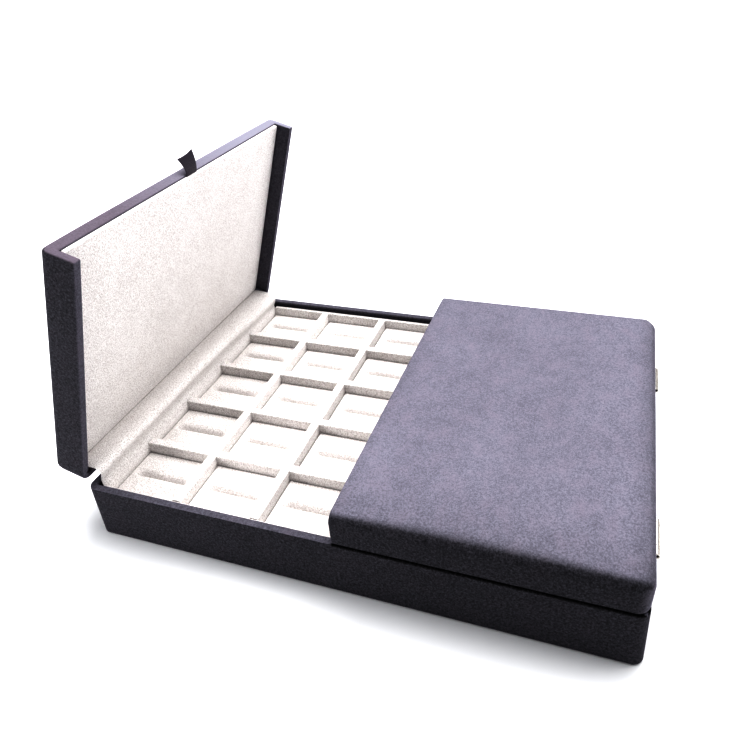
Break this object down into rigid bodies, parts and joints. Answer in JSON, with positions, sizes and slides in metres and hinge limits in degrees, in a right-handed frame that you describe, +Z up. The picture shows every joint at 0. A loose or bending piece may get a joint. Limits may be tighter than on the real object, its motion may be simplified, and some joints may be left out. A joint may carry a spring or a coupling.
{
  "type": "ring display case",
  "caption": "Suede-wrapped display case with slit ring pads in cells under two lids hinged at opposite ends.",
  "frame": {"origin": "centre of the case's flat underside", "axes": "+X from the open left lid's end to the shut right lid's end, +Y to the back, +Z up"},
  "size_m": [0.3652, 0.25, 0.2225],
  "materials": {
    "suede": "lilac-grey suede with a short mottled nap, matt, wrapped over board",
    "cream_cloth": "warm off-white microfibre with a fine raised grain, matt",
    "nickel": "nickel plate, satin",
    "satin": "near-black satin ribbon with a soft sheen"
  },
  "bodies": {
    "base": {"base_case": "suede", "tray_box": "cream_cloth", "row_divider_1": "cream_cloth", "row_divider_2": "cream_cloth", "row_divider_3": "cream_cloth", "row_divider_4": "cream_cloth", "column_divider_1": "cream_cloth", "column_divider_2": "cream_cloth", "column_divider_3": "cream_cloth", "column_divider_4": "cream_cloth", "column_divider_5": "cream_cloth", "ring_pad_1_1": "cream_cloth", "ring_pad_1_2": "cream_cloth", "ring_pad_1_3": "cream_cloth", "ring_pad_1_4": "cream_cloth", "ring_pad_1_5": "cream_cloth", "ring_pad_1_6": "cream_cloth", "ring_pad_2_1": "cream_cloth", "ring_pad_2_2": "cream_cloth", "ring_pad_2_3": "cream_cloth", "ring_pad_2_4": "cream_cloth", "ring_pad_2_5": "cream_cloth", "ring_pad_2_6": "cream_cloth", "ring_pad_3_1": "cream_cloth", "ring_pad_3_2": "cream_cloth", "ring_pad_3_3": "cream_cloth", "ring_pad_3_4": "cream_cloth", "ring_pad_3_5": "cream_cloth", "ring_pad_3_6": "cream_cloth", "ring_pad_4_1": "cream_cloth", "ring_pad_4_2": "cream_cloth", "ring_pad_4_3": "cream_cloth", "ring_pad_4_4": "cream_cloth", "ring_pad_4_5": "cream_cloth", "ring_pad_4_6": "cream_cloth", "ring_pad_5_1": "cream_cloth", "ring_pad_5_2": "cream_cloth", "ring_pad_5_3": "cream_cloth", "ring_pad_5_4": "cream_cloth", "ring_pad_5_5": "cream_cloth", "ring_pad_5_6": "cream_cloth", "hinge_left_front_base_leaf": "nickel", "hinge_left_back_base_leaf": "nickel", "hinge_right_front_base_leaf": "nickel", "hinge_right_back_base_leaf": "nickel", "hinge_left_front_pin": "nickel", "hinge_left_back_pin": "nickel", "hinge_right_front_pin": "nickel", "hinge_right_back_pin": "nickel", "hinge_cover_left": "cream_cloth", "hinge_cover_right": "cream_cloth"},
    "left_lid": {"lid_left": "suede", "lid_pad_left": "cream_cloth", "ribbon_pull": "satin", "hinge_left_front_lid_leaf": "nickel", "hinge_left_back_lid_leaf": "nickel"},
    "right_lid": {"lid_right": "suede", "lid_pad_right": "cream_cloth", "hinge_right_front_lid_leaf": "nickel", "hinge_right_back_lid_leaf": "nickel"}
  },
  "joints": [
    {"name": "left_lid_hinge", "type": "hinge", "parent": "base", "child": "left_lid", "pos_m": [-0.1735, 0, 0.0409], "axis": [0, -1, 0], "range_deg": [-72.7, 30], "deforming": ["hinge_cover_left", "ribbon_pull"]},
    {"name": "right_lid_hinge", "type": "hinge", "parent": "base", "child": "right_lid", "pos_m": [0.1735, 0, 0.0409], "axis": [0, 1, 0], "range_deg": [0, 102.7], "deforming": ["hinge_cover_right"]}
  ]
}
